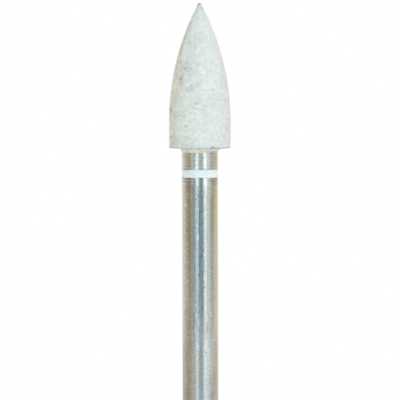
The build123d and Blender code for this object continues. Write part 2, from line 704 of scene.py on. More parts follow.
        # Some grains catch the light and a few are darker; handling has evened the right side
        open_side = Fade(stone.x, 0.7, -0.6, 1.0, 0.55)
        stone.coat(self.bright, Fade(brightness, 0.45, 1.0, 0.7), open_side)
        stone.coat(self.dark_grain, Fade(darkness, 0.88, 1.0, 0.4), open_side)

    def show_lines(self, stone: Surface, base_height: float) -> None:
        """Adds the dresser's lines, which run round the head and are plainest a third of the way up.

        Args:
            stone: The material in the making.
            base_height: Height of the rim.
        """
        grow = Fade(stone.z, *heights(base_height, self.lines_grow), 1.0, 0.5)
        fade = Fade(stone.z, *heights(base_height, self.lines_fade), 1.0, 0.4)
        lines = self.lines.drawn(stone)["Fac"]
        stone.coat(self.pore_shade, Fade(lines, 0.5, 0.72, 0.5), grow, fade)

    def show_edge_shade(self, stone: Surface) -> None:
        """Adds painted warm shade down the left edge, in broken streaks with a greyer edge.

        Args:
            stone: The material in the making.
        """
        flat = {0: stone.place, 1: (1, 1, 0)}
        flat = add_node(stone.tree, "ShaderNodeVectorMath", flat, operation="MULTIPLY").outputs[0]
        radius = add_node(stone.tree, "ShaderNodeVectorMath", {0: flat}, operation="LENGTH").outputs["Value"]
        inset = {0: radius, 1: stone.x}
        inset = add_node(stone.tree, "ShaderNodeMath", inset, operation="ADD").outputs[0]

        # How far in it is from the side, counted in widths of the strip, which wander
        widths = Fade(stone.z, *self.edge_shade_narrows, self.edge_shade_tip_width, self.edge_shade_width)
        share = {0: inset, 1: amount(stone.tree, widths)}
        share = add_node(stone.tree, "ShaderNodeMath", share, operation="DIVIDE").outputs[0]
        across = {0: self.edge_shade_ragged.drawn(stone)["Fac"], 1: self.edge_shade_shake, 2: share}
        across = add_node(stone.tree, "ShaderNodeMath", across, operation="MULTIPLY_ADD").outputs[0]
        streaks = Fade(self.edge_shade_streaks.drawn(stone)["Fac"], 0.42, 0.58, 1.0, 0.2)

        edge_shade_colour = coat(stone.tree, self.edge_shade_low, self.edge_shade_high, Fade(stone.z, *self.edge_shade_greys))
        strong = Fade(stone.z, *self.edge_shade_strong, 1.0, 0.3)
        stone.coat(edge_shade_colour, Fade(across, 1.9, 1.4, 0.78), Fade(inset, 0.0, 0.1, 1.0, 0.4), strong, streaks)
        strong = Fade(stone.z, *self.edge_shade_border_strong)
        stone.coat(self.edge_shade_border, Fade(across, 1.4, 1.8, 0.28), Fade(across, 2.4, 2.0), strong, streaks)

    def show_tip_dust_and_rim_brown(self, stone: Surface, flecks: Socket, tip_height: float, base_height: float) -> None:
        """Adds grey dust on the point and a brown band along the rim's lower edge, more of it on the right.

        Args:
            stone: The material in the making.
            flecks: A noise that makes the dust's edge uneven.
            tip_height: Height of the tip.
            base_height: Height of the rim.
        """
        uneven = {0: flecks, 1: self.fleck_lift, 2: stone.z}
        uneven = add_node(stone.tree, "ShaderNodeMath", uneven, operation="MULTIPLY_ADD").outputs[0]
        stone.coat(self.tip_dirt, Fade(uneven, *heights(tip_height, self.tip_dirt_height), 0.85))
        # A brown band darkens the rim's lower edge, more on the right
        at_rim = Fade(stone.z, *heights(base_height, self.rim_brown_height))
        stone.coat(self.rim_brown, at_rim, Fade(stone.x, 0.3, 0.9, 0.8))
        stone.coat(self.rim_brown, at_rim, Fade(stone.x, 0.1, -0.6, 0.3))


@dataclass(frozen=True)
class GroundSteel:
    """Stainless steel bar, centreless ground, then turned again at the neck.

    The wheel leaves fine lines round the bar, so reflections keep crisp sides and blur along
    it. Below the ring the chuck and the fingers have left a dull film, with brown and olive
    stains and a few dark pits; the neck is clean. On the front, painted highlights and painted
    reflections of the tent lie over both, with a painted shadow under the bead.
    """

    clean: str = "dad9d6"
    bright: str = "ebeae7"
    cloud: str = "aeada8"
    olive: str = "b9b893"
    rose: str = "c2a49c"
    groove: str = "8f897e"
    pit: str = "5d5f60"
    # The wheel's lines are a few thousandths of a millimetre apart; these are drawn to show
    lines: Clouds = Clouds(0.05, stretch=(5, 5, 1))
    rough_lines: Clouds = Clouds(0.05, stretch=(12, 12, 1))
    line_roughness: float = 0.05
    # The grip's wear starts between these heights, counted down from the ring's upper edge
    wear_height: Span = (-0.35, -1.1)
    scuffs: Clouds = Clouds(0.1, detail=3.0, rough=0.6, stretch=(1, 1, 2))
    streaks: Clouds = Clouds(0.3, detail=3.0, rough=0.6, stretch=(1, 1, 8))
    # Flecks break up the stains, whose edges they shake this far across, deep and along
    flecks: Clouds = Clouds(0.3, detail=3.0, rough=0.6)
    stain_shake: Triple = (0.25, 0.25, 0.8)
    waves: Clouds = Clouds(0.45, detail=1.0, stretch=(1, 1, 3))
    wave_relief: float = 0.005
    pit_spacing: float = 2.2
    pit_size: float = 0.08
    roughness: float = 0.11
    # The chuck has hazed the grip further down, between these heights
    haze: float = 0.01
    haze_height: Span = (30.0, 16.0)
    # Reflections blur along the bar, this share of a full turn from the lines round it
    anisotropy: float = 0.4
    blur_turn: float = 0.25
    # Partly painted light: pale glints are painted highlights and long bands paint the mirrored tent's
    # colours, among film and stains
    marks: tuple[Mark, ...] = (
        Mark("9a9994", -0.3, 17.0, 1.1, 6.5, 0.25, 0.6),
        Mark("96938a", -0.82, 19.8, 0.35, 5.5, 0.3, 0.75),
        Mark("a39e92", 0.95, 19.0, 0.25, 2.0, 0.3, 0.5),
        Mark("aca08a", -0.6, 30.5, 0.24, 8.5, 0.54, 0.6),
        Mark("a09fa8", -0.44, 30.5, 0.14, 8.5, 0.45, 0.75),
        Mark("8ea0a0", -0.3, 32.3, 0.1, 1.1, 0.5, 0.6),
        Mark("e8ecf0", -0.5, 32.9, 0.08, 0.26, 0.35, 0.5),
        Mark("d0f4f2", -0.13, 32.9, 0.09, 0.5, 0.35, 0.5),
        Mark("94c4c0", -0.04, 32.8, 0.06, 0.35, 0.4, 0.5),
        Mark("8c9294", -0.3, 31.35, 0.1, 0.3, 0.48, 0.5),
        Mark("f0faff", 0.38, 32.95, 0.17, 0.4, 0.5, 0.6),
        Mark("e8f8ff", 0.4, 32.3, 0.09, 0.3, 0.45, 0.5),
        Mark("7c9098", 0.22, 31.95, 0.07, 0.6, 0.3, 0.5),
        Mark("96a4a8", 0.29, 31.1, 0.12, 0.4, 0.35, 0.5),
        Mark("9aa6aa", 0.3, 32.15, 0.28, 0.55, 0.14, 0.5),
        Mark("98908a", -0.82, 32.45, 0.1, 0.28, 0.35, 0.5),
        Mark("d4e4ec", 0.61, 30.8, 0.1, 0.5, 0.3, 0.5),
        Mark("8a9494", -0.3, 28.65, 0.07, 0.5, 0.25, 0.5),
        Mark("b0a894", -1.02, 24.2, 0.1, 0.8, 0.25, 0.5),
        Mark("98a6ac", -0.28, 22.7, 0.12, 0.9, 0.3, 0.5),
        Mark("e0ecf0", 0.22, 24.4, 0.07, 0.9, 0.3, 0.5),
        Mark("98a8ac", -0.1, 19.3, 0.09, 0.8, 0.3, 0.5),
        Mark("dceaf0", 0.22, 19.3, 0.07, 0.8, 0.3, 0.5),
        Mark("849fa7", -0.17, 27.85, 0.2, 5.08, 0.62, 0.88),
        Mark("8a9ea4", -0.1, 32.0, 0.08, 0.5, 0.4, 0.5),
        Mark("9c9caa", -0.14, 23.6, 0.22, 1.7, 0.4, 0.5),
        Mark("8c9ca6", 0.08, 28.6, 0.16, 5.5, 0.66, 0.85),
        Mark("928f8e", 0.215, 27.7, 0.07, 5.7, 0.68, 0.88),
        Mark("e4f2f2", -0.1, 29.25, 0.08, 0.4, 0.45, 0.5),
        Mark("eef8fc", 0.29, 26.5, 0.1, 0.4, 0.45, 0.5),
        Mark("f4f4ee", 0.74, 26.2, 0.1, 0.35, 0.4, 0.5),
        Mark("eef0ee", -0.63, 21.85, 0.1, 0.4, 0.35, 0.5),
        Mark("9aa8aa", 0.27, 27.2, 0.1, 6.0, 0.36, 0.85),
        Mark("a4b4c8", 0.28, 21.2, 0.1, 1.3, 0.3, 0.5),
        Mark("c4d0e8", 0.65, 23.5, 0.2, 2.2, 0.2, 0.5),
        Mark("c4d8e0", -0.26, 19.0, 0.12, 2.5, 0.3, 0.6),
        Mark("c8e0e8", 0.45, 19.2, 0.1, 2.0, 0.3, 0.6),
        Mark("98a0a4", 0.58, 19.4, 0.08, 1.6, 0.3),
        Mark("a0b0bc", 0.55, 28.2, 0.3, 5.0, 0.27, 0.76),
        Mark("aaa28c", 0.92, 29.0, 0.25, 6.5, 0.16, 0.7),
        Mark("9f9d94", 0.84, 26.2, 0.2, 2.6, 0.16),
        Mark("9a988e", -0.53, 23.2, 0.17, 2.2, 0.38, 0.5),
        Mark("9d9ca4", -0.48, 18.5, 0.15, 6.0, 0.2, 0.8),
        Mark("a8b4c0", -0.16, 18.6, 0.2, 6.0, 0.28, 0.8),
        Mark("94a5b0", 0.07, 18.4, 0.18, 6.4, 0.44, 0.8),
        Mark("aabccc", 0.55, 17.6, 0.32, 5.6, 0.12, 0.8),
        Mark("a4a29c", 0.7, 19.6, 0.16, 1.4, 0.3),
        Mark("dce6f0", -0.37, 20.4, 0.08, 0.5, 0.35, 0.5),
        Mark("8a8676", -1.12, 18.5, 0.14, 6.5, 0.36, 0.5),
        Mark("a89c8c", -0.8, 30.5, 0.3, 3.0, 0.16, 0.4),
        Mark("9098a4", -0.8, 32.95, 0.32, 0.3, 0.3, 0.5),
        Mark("888c94", 0.98, 32.9, 0.34, 0.45, 0.37, 0.5),
        Mark("b09a98", -0.65, 32.5, 0.25, 0.5, 0.4, 0.3),
        Mark("b9b48f", 0.86, 30.9, 0.22, 2.8, 0.5, 0.4),
        Mark("e6dfce", 1.05, 27.5, 0.22, 7.0, 0.6, 0.5),
        Mark("b0a898", 1.02, 20.0, 0.24, 3.6, 0.4, 0.4),
        Mark("bfa898", -0.92, 21.6, 0.3, 1.0, 0.5),
        Mark("a4a78a", -0.63, 22.0, 0.14, 1.0, 0.5),
        Mark("a8a488", -0.8, 20.2, 0.28, 1.3, 0.58),
        Mark("a49484", -0.85, 18.9, 0.34, 0.9, 0.62),
        Mark("929fab", 0.41, 23.3, 0.14, 0.7, 0.45),
        Mark("d8e8f8", 0.47, 22.1, 0.14, 0.9, 0.3, 0.5),
        Mark("8c9aa8", -0.37, 24.0, 0.08, 0.6, 0.3, 0.5),
        Mark("8a9ca8", -0.17, 25.4, 0.08, 0.5, 0.28, 0.5),
        Mark("e4f0fa", -0.1, 23.75, 0.07, 0.5, 0.35, 0.5),
        Mark("f4f4f8", 0.61, 24.5, 0.1, 0.5, 0.35, 0.5),
        Mark("98a4b4", 0.34, 22.85, 0.07, 0.4, 0.3, 0.5),
        Mark("98a4a8", 0.48, 29.25, 0.08, 0.5, 0.25, 0.5),
        Mark("e4d8d0", -0.89, 22.8, 0.1, 0.5, 0.3, 0.5),
        Mark("a09888", 0.76, 18.9, 0.12, 0.5, 0.35, 0.5),
        Mark("8ea0ac", 0.29, 19.5, 0.07, 1.0, 0.2, 0.5),
    )
    # Painted shadow under the bead, and painted highlights and reflection tints on the clean neck
    neck_painted_light: tuple[Mark, ...] = (
        Mark("a89c9e", -0.28, 34.66, 0.16, 0.24, 0.45, 0.4),
        Mark("a8a49c", -1.1, 34.6, 0.2, 0.25, 0.35, 0.4),
        Mark("d8d5cb", 0.04, 34.25, 0.2, 0.75, 0.8, 0.8),
        Mark("f6ffff", 0.37, 34.0, 0.1, 0.3, 0.5, 0.5),
        Mark("a8b4b4", 0.22, 34.43, 0.07, 0.25, 0.6, 0.5),
        Mark("a8a49c", -0.64, 33.95, 0.12, 0.25, 0.4, 0.5),
        Mark("b8b4ac", 0.74, 33.95, 0.12, 0.25, 0.3, 0.5),
        Mark("e8f6f8", -0.37, 34.43, 0.06, 0.25, 0.45, 0.5),
        Mark("b4aa9c", 1.04, 34.43, 0.1, 0.25, 0.3, 0.5),
    )
    specks: tuple[Mark, ...] = (
        Mark(PIT_FLOOR, -0.1, 26.78, 0.08, 0.07, 0.9),
        Mark(PIT_FLOOR, 0.24, 26.01, 0.09, 0.07, 0.6),
        Mark(PIT_FLOOR, 0.0, 30.9, 0.1, 0.14, 0.35),
        Mark(PIT_FLOOR, 0.2, 24.7, 0.08, 0.12, 0.3),
        Mark(PIT_FLOOR, 0.2, 28.39, 0.08, 0.08, 0.6),
        Mark(PIT_FLOOR, 0.14, 28.03, 0.1, 0.07, 0.7),
        Mark(PIT_FLOOR, 0.0, 27.95, 0.1, 0.06, 0.6),
        Mark(PIT_FLOOR, -0.02, 30.1, 0.07, 0.09, 0.5),
        Mark(PIT_FLOOR, -0.02, 30.54, 0.06, 0.1, 0.5),
        Mark(PIT_FLOOR, -0.1, 31.93, 0.07, 0.06, 0.4),
        Mark(PIT_FLOOR, -0.27, 31.7, 0.07, 0.09, 0.6),
        Mark(PIT_FLOOR, -0.15, 25.52, 0.07, 0.07, 0.4),
        Mark(PIT_FLOOR, -0.12, 24.32, 0.07, 0.07, 0.4),
        Mark("6e7477", 0.39, 21.71, 0.09, 0.09, 0.5),
        Mark("3a4a4d", 0.07, 33.0, 0.12, 0.06, 0.4),
        # Painted highlights: small glints on the grip
        Mark("f4fbfa", 0.27, 28.05, 0.06, 0.06, 0.8),
        Mark("f4fbfa", -0.1, 31.08, 0.06, 0.06, 0.7),
        Mark("f8fffa", -0.93, 31.33, 0.1, 0.14, 0.8),
    )

    def material(self, neck_height: float) -> bpy.types.Material:
        """Builds the material.

        Args:
            neck_height: Height from which the bar is freshly turned and clean.

        Returns:
            The node material.
        """
        steel = Surface("ground_stainless_steel", self.clean)
        worn = amount(steel.tree, Fade(steel.z, *heights(neck_height, self.wear_height)))
        steel.coat(self.bright, worn)
        self.show_wear(steel, worn)
        # Painted shade: the neck's turning lines and the burr along the groove darken by how deep they are
        # cut
        steel.coat(self.groove, steel.hollow)
        self.show_stains(steel, neck_height)

        least, most = self.roughness, self.roughness + self.haze
        haze = amount(steel.tree, Fade(steel.z, *self.haze_height, most, least))
        rough = {0: self.rough_lines.drawn(steel)["Fac"], 1: self.line_roughness, 2: haze}
        rough = add_node(steel.tree, "ShaderNodeMath", rough, operation="MULTIPLY_ADD").outputs[0]
        waves = self.waves.drawn(steel)["Fac"]
        waves = {"Height": waves, "Strength": 1.0, "Distance": self.wave_relief * MM}
        waves = add_node(steel.tree, "ShaderNodeBump", waves).outputs[0]
        around = add_node(steel.tree, "ShaderNodeTangent", direction_type="RADIAL", axis="Z").outputs[0]
        return steel.finished(
            Metallic=1.0,
            Roughness=rough,
            Normal=waves,
            Tangent=around,
            Anisotropic=self.anisotropy,
            Anisotropic_Rotation=self.blur_turn,
        )

    def show_wear(self, steel: Surface, worn: Socket) -> None:
        """Adds scuffs, the wheel's lines and long faint olive and rose streaks.

        Args:
            steel: The material in the making.
            worn: 1 on the grip, 0 on the clean neck.
        """
        scuffs = Fade(self.scuffs.drawn(steel)["Fac"], 0.36, 0.68)
        most_on_grip, most_on_left = Fade(worn, 0.0, 1.0, 1.0, 0.25), Fade(steel.x, 0.1, 0.5, 0.36, 0.6)
        steel.coat(self.cloud, scuffs, most_on_grip, most_on_left)
        steel.coat(self.cloud, Fade(self.lines.drawn(steel)["Fac"], 0.4, 0.65, 0.45), worn)
        streaks = {"Color": self.streaks.drawn(steel)["Color"]}
        streaks = add_node(steel.tree, "ShaderNodeSeparateColor", streaks).outputs
        for streak, streak_colour in zip(streaks, (self.olive, self.rose)):
            steel.coat(streak_colour, Fade(streak, 0.48, 0.7, 0.3), worn)

    def show_stains(self, steel: Surface, neck_height: float) -> None:
        """Adds the film and the stains, ragged at their edges, with painted reflections, highlights and
        shadow, and the pits.

        Args:
            steel: The material in the making.
            neck_height: Height from which only the neck's painted shadow and highlights show.
        """
        flecks = self.flecks.drawn(steel)
        ragged = steel.shaken(flecks["Color"], self.stain_shake)
        grip = amount(steel.tree, steel.front, Fade(steel.z, neck_height, neck_height - 0.1))
        broken = amount(steel.tree, grip, Fade(flecks["Fac"], 0.36, 0.62, 1.1, 0.86))
        # Film and stains, with painted reflections and highlights
        for mark in self.marks:
            mark.lay(steel, ragged, broken)
        # Painted shadow under the bead and painted highlights on the neck
        for mark in self.neck_painted_light:
            mark.lay(steel, ragged, steel.front)
        for speck in self.specks:
            speck.lay(steel, steel.place, grip)
        pits = {"Vector": steel.place, "Scale": 1 / self.pit_spacing}
        pits = add_node(steel.tree, "ShaderNodeTexVoronoi", pits).outputs["Distance"]
        edge = self.pit_size / self.pit_spacing
        steel.coat(self.pit, Fade(pits, edge, edge / 2, 0.8))


@dataclass(frozen=True)
class CuredCement:
    """Resin cement, pressed out of the joint and left as it cured.

    A dull cream skin, a little glossier than the abrasive, with specks of grain stuck in it,
    and painted light that makes its right side paler and cooler.
    """

    body: str = "f6f8f3"
    lit_right_pale: str = "fdfbff"
    shade: str = "e9ebe0"
    speck: str = "c4c2ae"
    lumps: Clouds = Clouds(0.35, detail=3.0)
    lump_relief: float = 0.02
    speck_size: float = 0.12
    least_rough: float = 0.5
    most_rough: float = 0.75
    ior: float = 1.54

    def material(self) -> bpy.types.Material:
        """Builds the material.

        Returns:
            The node material.
        """
        cement = Surface("cured_resin_cement", self.body)
        lumps = self.lumps.drawn(cement)["Fac"]
        cement.coat(self.shade, Fade(lumps, 0.45, 0.68))
        specks = {"Vector": cement.place, "Scale": 1 / self.speck_size}
        specks = {"Color": add_node(cement.tree, "ShaderNodeTexVoronoi", specks).outputs["Color"]}
        specks = add_node(cement.tree, "ShaderNodeSeparateColor", specks).outputs[0]
        cement.coat(self.speck, Fade(specks, 0.8, 1.0, 0.55))
        # Painted light: the right side turns paler and cooler
        cement.coat(self.lit_right_pale, Fade(cement.x, 0.5, 1.1, 0.6))
        rough = amount(cement.tree, Fade(lumps, 0.0, 1.0, self.most_rough, self.least_rough))
        bumps = {"Height": lumps, "Strength": 0.5, "Distance": self.lump_relief * MM}
        bumps = add_node(cement.tree, "ShaderNodeBump", bumps).outputs[0]
        return cement.finished(Roughness=rough, Normal=bumps, IOR=self.ior)


@dataclass(frozen=True)
class StovedEnamel:
    """White enamel run into the turned groove and stoved.

    It is the whitest thing on the instrument, faintly blue and satin. It is thinner at its
    edges, where the steel greys it, and painted light whitens its right side.
    """

    body: str = "e8f6fb"
    lit_right_white: str = "fbffff"
    thin: str = "d3e1e4"
    runs: Clouds = Clouds(0.5)
    run_relief: float = 0.01
    least_rough: float = 0.29
    most_rough: float = 0.45
    ior: float = 1.52

    def material(self) -> bpy.types.Material:
        """Builds the material.

        Returns:
            The node material.
        """
        enamel = Surface("stoved_white_enamel", self.body)
        # Painted light: the right side turns whiter
        enamel.coat(self.lit_right_white, Fade(enamel.x, 0.3, 1.1))
        runs = self.runs.drawn(enamel)["Fac"]
        thin = {0: amount(enamel.tree, Fade(runs, 0.5, 0.75, 0.5)), 1: enamel.hollow}
        thin = add_node(enamel.tree, "ShaderNodeMath", thin, operation="MAXIMUM").outputs[0]
        enamel.coat(self.thin, thin)
        rough = amount(enamel.tree, Fade(runs, 0.0, 1.0, self.most_rough, self.least_rough))
        bumps = {"Height": runs, "Strength": 0.3, "Distance": self.run_relief * MM}
        bumps = add_node(enamel.tree, "ShaderNodeBump", bumps).outputs[0]
        return enamel.finished(Roughness=rough, Normal=bumps, IOR=self.ior)


@dataclass(frozen=True)
class Extent:
    """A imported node's reach, in millimetres, as the frame gives it."""

    radius: float
    low: float
    high: float

    @classmethod
    def of(cls, node: str) -> "Extent":
        """Reads the reach of a node from the frame."""
        lowest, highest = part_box(node)
        return cls(highest.x / MM, lowest.z / MM, highest.z / MM)


@dataclass(frozen=True)
class Bore:
    """The blind bore in the head, which the cement fills to its end."""

    radius: float = 0.85
    chamfer: float = 0.2
    end: float = field(default_factory=lambda: Extent.of("adhesive").high)


@dataclass(frozen=True)
class Groove:
    """The shallow groove round the shank, with a hollowed floor, which the enamel fills."""

    low: float = field(default_factory=lambda: Extent.of("color_ring").low)
    high: float = field(default_factory=lambda: Extent.of("color_ring").high)
    bar: float = field(default_factory=lambda: Extent.of("shank").radius)
    depth: float = 0.1
    hollow: float = 0.02

    def floor(self) -> list[Point]:
        """Works out the floor's section.

        Returns:
            Points of (radius, height) from the upper edge down to the lower one.
        """
        radius = self.bar - self.depth
        middle = (self.low + self.high) / 2
        return [(radius, self.high), (radius - self.hollow, middle), (radius, self.low)]


@dataclass(frozen=True)
class Pit:
    """A place where grains have broken out, seen from the front.

    Attributes:
        across: Distance to the right of the axis.
        height: Height on the axis.
        width: Width of the pit.
        depth: Its depth.
    """

    across: float
    height: float
    width: float
    depth: float


@dataclass
class AbrasiveHead:
    """The dressed flame of bonded abrasive."""

    reach: Extent = field(default_factory=lambda: Extent.of("abrasive_head"))
    bore: Bore = field(default_factory=Bore)
    finish: DressedAlumina = DressedAlumina()
    parallel_length: float = 1.77
    tip_radius: float = 0.14
    rim_radius: float = 0.05
    segments: int = 300
    spacing: float = 0.036
    skin: float = 0.006
    # Below the tip, where wear starts and where it is full
    smooth_tip: Span = (0.05, 0.8)
    # Depth from which a pore looks dark, and how much deeper it is darkest
    shaded_depth: Span = (0.014, 0.045)
    # The bore keeps its shape: wear grows to full over this distance out from it, or between
    # these heights, counted from its end
    clear_of_bore: float = 0.3
    clear_of_end: Span = (-1.0, 0.5)
    grain_size: float = 0.12
    grain_relief: float = 0.007
    pores: Patches = Patches(0.3, 7.7, 0.2, 0.65)
    fine_pores: Patches = Patches(0.12, 1.3, 0.3, 0.75)
    pore_depth: float = 0.018
    line_pitch: float = 0.16
    line_squeeze: Triple = (0.12, 0.12, 1.0)
    line_depth: float = 0.006
    chips: Patches = Patches(0.35, 9.4, 0.05, 0.5, (1, 1, 0.3))
    chip_depth: float = 0.05
    chip_reach: float = 0.14
    # Share of the chips' depth by which the rim is ragged between them
    rim_raggedness: float = 0.15
    pits: tuple[Pit, ...] = (
        Pit(-1.24, 39.60, 0.16, 0.05),
        Pit(-1.00, 40.28, 0.14, 0.04),
        Pit(-0.29, 37.98, 0.14, 0.02),
        Pit(-0.27, 37.68, 0.20, 0.02),
        Pit(0.30, 37.87, 0.14, 0.02),
        Pit(-0.94, 36.50, 0.16, 0.03),
        Pit(1.61, 35.82, 0.14, 0.05),
    )

    def outline(self) -> list[Point]:
        """Works out the section.

        Returns:
            Points of (radius, height) from the tip down the outside and back up the bore.
        """
        flame_low = self.reach.low + self.parallel_length
        ball_centre = self.reach.high - self.tip_radius
        ball_rise, ball_inset = ball_centre - flame_low, self.reach.radius - self.tip_radius
        flame_radius = (ball_rise**2 / ball_inset + self.reach.radius + self.tip_radius) / 2
        flame_deg = math.degrees(math.asin(ball_rise / (flame_radius - self.tip_radius)))
        flame_steps = round(flame_radius * math.radians(flame_deg) / self.spacing)
        wall = (self.reach.radius, flame_low)
        rim_top = (self.reach.radius, self.reach.low + self.rim_radius)
        rim_centre = (self.reach.radius - self.rim_radius, rim_top[1])
        bore_top = self.bore.end - self.bore.chamfer
        return [
            *arc((0, ball_centre), self.tip_radius, 90, flame_deg, steps=6)[:-1],
            *arc((self.reach.radius - flame_radius, flame_low), flame_radius, flame_deg, 0, flame_steps)[:-1],
            *run(wall, rim_top, self.spacing),
            *arc(rim_centre, self.rim_radius, 0, -90, steps=4)[:-1],
            *run((rim_centre[0], self.reach.low), (self.bore.radius, self.reach.low), spacing=0.08),
            *run((self.bore.radius, self.reach.low), (self.bore.radius, bore_top), spacing=1.0),
            (self.bore.radius, bore_top),
            (self.bore.radius - self.bore.chamfer, self.bore.end),
            (0, self.bore.end),
        ]

    def worn(self) -> Turned:
        """Turns the section and wears it: grains, pores, the dresser's lines, pits and rim chips.

        Returns:
            The worn surface.
        """
        surface = Turned(self.outline(), self.segments, Ends.POLES)
        points = surface.points()

        # The bore keeps its shape, and the very tip is worn smooth
        outside = rise(surface.radius, self.bore.radius, self.bore.radius + self.clear_of_bore)
        above = rise(surface.height, *heights(self.bore.end, self.clear_of_end))
        outside = np.maximum(outside, above) * (surface.out_radius > -0.1)
        blunt = rise(self.reach.high - surface.height, *self.smooth_tip)

        grains = self.grain_relief * grain_field(points, self.grain_size, seed=3.1)
        pores = self.pore_depth * self.pores.over(points)
        fine = self.pore_depth * self.fine_pores.over(points)
        lines = noise_field(points * self.line_squeeze, self.line_pitch, seed=5.2)
        lines = self.line_depth * (0.5 + 0.5 * lines)
        depth = (grains + pores + fine + lines) * blunt

        front = -np.sqrt(np.maximum(surface.radius**2 - points[..., 0] ** 2, 0))
        for pit in self.pits:
            away = np.hypot(points[..., 0] - pit.across, surface.height - pit.height)
            facing = np.abs(points[..., 1] - front) < 0.01
            depth += pit.depth * rise(away, pit.width, 0.2 * pit.width) * facing

        corner = np.hypot(surface.radius - self.reach.radius, surface.height - self.reach.low)
        ragged = self.rim_raggedness * (0.5 + 0.5 * noise_field(points, self.grain_size, seed=2.2))
        depth += self.chip_depth * rise(corner, self.chip_reach, 0) * (self.chips.over(points) + ragged)

        # All of it lies a skin's thickness below the moulded size
        surface.cut((depth + self.skin * (blunt > 0)) * outside)
        # The depth also sets how much painted shade the material lays in pores, pits and chips
        shaded_from, shaded_over = self.shaded_depth
        surface.hollow = np.clip((depth * outside - shaded_from) / shaded_over, 0, 1)
        return surface

    def build(self) -> bpy.types.Object:
        """Makes the finished piece.

        Returns:
            The mesh object, dressed and named for the frame.
        """
        piece = self.worn().mesh("alumina_flame", sharp_deg=180)
        finish = self.finish.material(self.reach.high, self.reach.low)
        return dress(piece, finish, "abrasive_head")


@dataclass(frozen=True)
class Pin:
    """The fluted retention pin, which the shank carries and the cement takes the print of."""

    radius: float = 0.8
    top: float = field(default_factory=lambda: Extent.of("shank").high)
    length: float = 5.2
    chamfer: float = 0.2
    groove_count: int = 3
    groove_pitch: float = 1.2
    groove_width: float = 0.3
    groove_depth: float = 0.12
    flute_count: int = 12
    flute_depth: float = 0.09
    flute_runout: float = 0.6

    def outline(self) -> list[Point]:
        """Works out the pin's part of a section.

        Returns:
            Points of (radius, height) from the pin's end down to the shoulder.
        """
        points = [(self.radius - self.chamfer, self.top), (self.radius, self.top - self.chamfer)]
        for number in range(1, self.groove_count + 1):
            middle = self.top - number * self.groove_pitch
            upper, lower = middle + self.groove_width / 2, middle - self.groove_width / 2
            points += run(points[-1], (self.radius, upper), spacing=0.3)[1:]
            points += [(self.radius, upper), (self.radius - self.groove_depth, upper)]
            points += [(self.radius - self.groove_depth, lower), (self.radius, lower)]

        # Two points close together let the flutes end square
        runout = self.top - self.length + self.flute_runout
        points += [(self.radius, runout + 0.01), (self.radius, runout - 0.01)]
        points.append((self.radius, self.top - self.length))
        return points

    def flute(self, surface: Turned) -> None:
        """Presses the flutes into a turned surface.

        Args:
            surface: The surface, of which only the part on the pin changes.
        """
        pitch = 2 * math.pi / self.flute_count
        off_flute = np.abs((surface.angle + pitch / 2) % pitch - pitch / 2) * self.radius
        floor = self.radius - np.clip(self.flute_depth - off_flute, 0, None)
        low = self.top - self.length + self.flute_runout
        on_pin = (surface.height > low) & (surface.radius < self.radius + 0.01)
        surface.radius = np.where(on_pin, np.minimum(surface.radius, floor), surface.radius)


